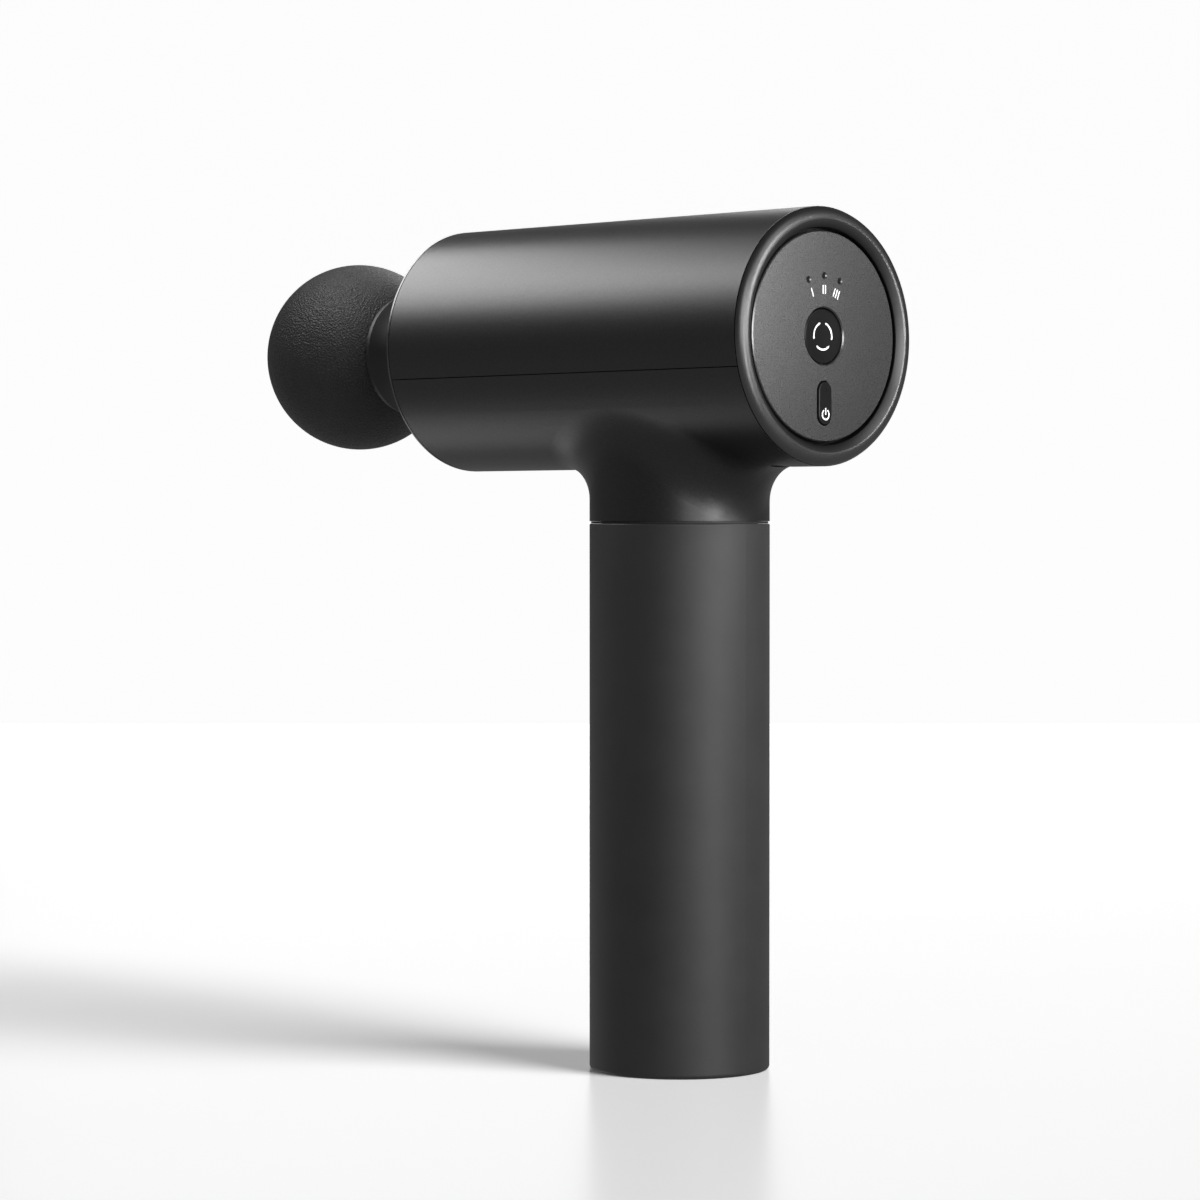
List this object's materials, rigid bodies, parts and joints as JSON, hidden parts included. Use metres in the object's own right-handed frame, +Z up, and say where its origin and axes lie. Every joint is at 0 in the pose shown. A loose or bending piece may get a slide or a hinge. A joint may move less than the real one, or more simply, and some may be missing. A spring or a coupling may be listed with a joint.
{
  "type": "massage gun",
  "caption": "Cordless T-shaped massage gun: round barrel with a ball head on a crank-driven plunger, rear key panel, cylindrical battery grip.",
  "frame": {"origin": "centre of the grip's flat foot, where the gun stands", "axes": "+Z up the grip; +X along the barrel towards the rear control panel, so the ball head is at -X; +Y across the barrel"},
  "size_m": [0.199, 0.064, 0.2174],
  "materials": {
    "shell_paint": "satin, metallic dark grey paint",
    "cover_plastic": "satin",
    "bezel_plastic": "satin",
    "panel_plastic": "satin",
    "key_plastic": "satin",
    "lens": "gloss",
    "sleeve_rubber": "matte",
    "ball_rubber": "matte",
    "head_plastic": "matte",
    "seal_rubber": "matte",
    "inner_plastic": "matte",
    "plunger_plastic": "satin",
    "cast_alloy": "satin",
    "steel": "satin",
    "screw_steel": "satin",
    "bearing_steel": "polished",
    "magnet": "satin",
    "copper": "gloss",
    "circuit_board": "satin",
    "chip_plastic": "satin",
    "cell_wrap": "satin",
    "wire_red": "satin"
  },
  "bodies": {
    "housing": {"upper_housing": "shell_paint", "lower_housing": "shell_paint", "front_cover": "cover_plastic", "front_cover_screws": "screw_steel", "front_trim": "cover_plastic", "front_dust_seal": "seal_rubber", "rear_bezel": "bezel_plastic", "bezel_screws": "screw_steel", "control_panel": "panel_plastic", "speed_led_lenses": "lens", "key_switches": "chip_plastic", "control_board": "circuit_board", "board_leds": "lens", "panel_screws": "screw_steel", "driver_board": "circuit_board", "driver_transistors": "chip_plastic", "driver_capacitor": "cast_alloy", "panel_ribbon": "inner_plastic", "charging_board": "circuit_board", "usb_c_socket": "steel", "neck_gasket": "seal_rubber", "grip_sleeve": "sleeve_rubber", "grip_tube": "inner_plastic", "grip_end_cap": "cover_plastic", "end_cap_screws": "screw_steel", "battery_cells": "cell_wrap", "battery_trays": "inner_plastic", "battery_board": "circuit_board", "battery_spacer": "inner_plastic", "drive_frame": "inner_plastic", "frame_grommets": "seal_rubber", "frame_screws": "screw_steel", "guide_bushing": "plunger_plastic", "motor_base": "cast_alloy", "motor_bearings": "bearing_steel", "motor_stator": "steel", "motor_windings": "copper", "motor_screws": "screw_steel", "battery_leads": "wire_red", "motor_leads": "seal_rubber"},
    "crank": {"motor_bell": "steel", "motor_magnets": "magnet", "motor_shaft": "bearing_steel", "crank_disc": "cast_alloy", "crank_counterweight": "steel", "crank_pin": "steel", "crank_pin_screw": "screw_steel"},
    "rod": {"connecting_rod": "cast_alloy", "crank_bearing": "bearing_steel", "wrist_pin": "bearing_steel"},
    "plunger_body": {"plunger": "plunger_plastic", "socket_liner": "inner_plastic"},
    "head": {"head_base": "head_plastic", "stem_rings": "seal_rubber", "massage_ball": "ball_rubber"},
    "speed_key": {"speed_button": "key_plastic", "speed_switch_plunger": "inner_plastic"},
    "power_key": {"power_button": "key_plastic", "power_led_lens": "lens", "power_switch_plunger": "inner_plastic"}
  },
  "joints": [
    {"name": "motor_spin", "type": "hinge", "parent": "housing", "child": "crank", "pos_m": [0, 0, 0.175], "axis": [0, 0, 1], "range_deg": [0, 180]},
    {"name": "plunger_stroke", "type": "slide", "parent": "housing", "child": "plunger_body", "axis": [-1, 0, 0], "range_m": [0, 0.01]},
    {"name": "rod_pivot", "type": "hinge", "parent": "crank", "child": "rod", "pos_m": [0.005, 0, 0.1853], "axis": [0, 0, 1], "range_deg": [-180, 0]},
    {"name": "head_pull", "type": "slide", "parent": "plunger_body", "child": "head", "axis": [-1, 0, 0], "range_m": [0, 0.025]},
    {"name": "speed_key_press", "type": "slide", "parent": "housing", "child": "speed_key", "axis": [-1, 0, 0], "range_m": [0, 0.0005], "stiffness_N_per_m": 2000, "springref_m": -0.0004},
    {"name": "power_key_press", "type": "slide", "parent": "housing", "child": "power_key", "axis": [-1, 0, 0], "range_m": [0, 0.0005], "stiffness_N_per_m": 2000, "springref_m": -0.0004}
  ],
  "couplings": [
    {"joint": "motor_spin", "follows": "plunger_stroke", "rad_per_m": 314.16},
    {"joint": "rod_pivot", "follows": "plunger_stroke", "rad_per_m": -314.16}
  ]
}
